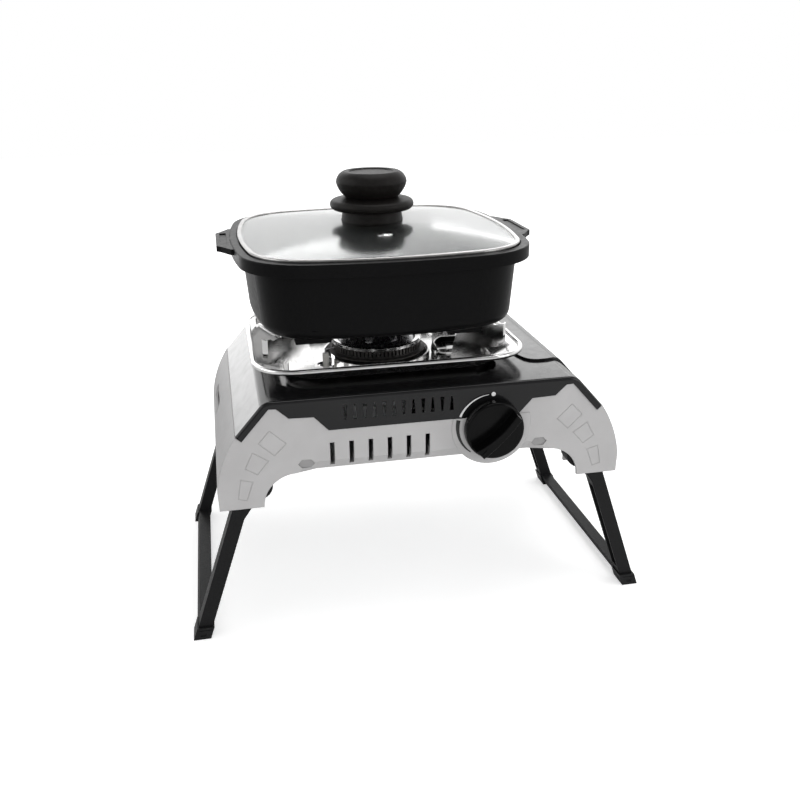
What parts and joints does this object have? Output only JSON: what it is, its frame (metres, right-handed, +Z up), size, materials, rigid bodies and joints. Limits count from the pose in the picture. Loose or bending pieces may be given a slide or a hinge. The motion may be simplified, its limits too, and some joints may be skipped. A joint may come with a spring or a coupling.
{
  "type": "portable gas stove with pan",
  "caption": "Tabletop cartridge gas stove on folding leg frames, with a lift-out drip tray, a lidded square pan and a push-and-turn control knob.",
  "frame": {"origin": "floor level under the middle of the whole object, legs open", "axes": "+X to the user's right, +Y to the back, +Z up; the control knob faces -Y"},
  "size_m": [0.427, 0.2874, 0.3903],
  "materials": {
    "grey_moulding": "fine-grained light grey moulding",
    "black_enamel": "glossy black enamel on steel sheet",
    "powder_coat": "dark textured powder coat on cast aluminium",
    "black_plastic": "black satin plastic",
    "knob_plastic": "black phenolic plastic",
    "bright_chrome": "bright chromed steel sheet",
    "steel": "plain steel",
    "galvanised": "galvanised sheet steel",
    "burner_cast": "dark heat-stained casting",
    "valve_cast": "die-cast alloy",
    "brass": "machined brass",
    "ceramic": null,
    "pan_coat": "satin black non-stick coat on cast aluminium",
    "clear_glass": "clear tempered glass",
    "silicone": "black silicone",
    "lead_cover": "grey insulated lead"
  },
  "bodies": {
    "base": {"frame_housing": "grey_moulding", "top_cover": "black_enamel", "lid_hinge_pin": "steel", "base_plate": "galvanised", "base_screws": "steel", "cartridge_cradle": "galvanised", "heat_shield": "galvanised", "cradle_screws": "steel", "burner_body": "burner_cast", "mixing_tube": "galvanised", "burner_ring": "bright_chrome", "burner_crown": "steel", "burner_carrier": "galvanised", "carrier_screws": "steel", "electrode_stand": "galvanised", "electrode_ceramic": "ceramic", "electrode_tip": "steel", "gas_valve": "valve_cast", "gas_jet": "brass", "regulator_cap": "valve_cast", "docking_ring": "steel", "piezo_igniter": "black_plastic", "ignition_lead": "lead_cover", "leg_pins": "steel", "screw_covers": "grey_moulding"},
    "left_leg": {"leg_frame_left": "powder_coat", "foot_caps_left": "black_plastic"},
    "right_leg": {"leg_frame_right": "powder_coat", "foot_caps_right": "black_plastic"},
    "spindle": {"valve_spindle": "brass"},
    "knob": {"control_knob": "knob_plastic"},
    "bay_lid": {"cartridge_lid": "black_enamel"},
    "tray": {"drip_tray": "bright_chrome", "pan_supports": "bright_chrome", "support_rivets": "steel"},
    "pan": {"pan": "pan_coat"},
    "lid": {"lid_glass": "clear_glass", "lid_rim": "bright_chrome", "steam_vent": "bright_chrome", "lid_knob_collar": "knob_plastic", "lid_knob": "knob_plastic", "lid_washer": "silicone", "lid_knob_screw": "steel"}
  },
  "joints": [
    {"name": "left_leg_fold", "type": "hinge", "parent": "base", "child": "left_leg", "pos_m": [-0.146, 0.00575, 0.1455], "axis": [0, -1, 0], "range_deg": [0, 113]},
    {"name": "right_leg_fold", "type": "hinge", "parent": "base", "child": "right_leg", "pos_m": [0.146, 0.00575, 0.1455], "axis": [0, 1, 0], "range_deg": [0, 106]},
    {"name": "knob_turn", "type": "hinge", "parent": "base", "child": "spindle", "pos_m": [0.0592, -0.11775, 0.1842], "axis": [0, 1, 0], "range_deg": [0, 133]},
    {"name": "knob_push", "type": "slide", "parent": "spindle", "child": "knob", "axis": [0, 1, 0], "range_m": [0, 0.003], "stiffness_N_per_m": 600, "springref_m": -0.006},
    {"name": "bay_lid_hinge", "type": "hinge", "parent": "base", "child": "bay_lid", "pos_m": [0.15536, 0.00575, 0.19599], "axis": [0, 1, 0], "range_deg": [0, 95]},
    {"name": "tray_lift", "type": "slide", "parent": "base", "child": "tray", "axis": [0, 0, 1], "range_m": [0, 0.08]},
    {"name": "pan_lift", "type": "slide", "parent": "tray", "child": "pan", "axis": [0, 0, 1], "range_m": [0, 0.12]},
    {"name": "lid_lift", "type": "slide", "parent": "pan", "child": "lid", "axis": [0, 0, 1], "range_m": [0, 0.1]}
  ]
}
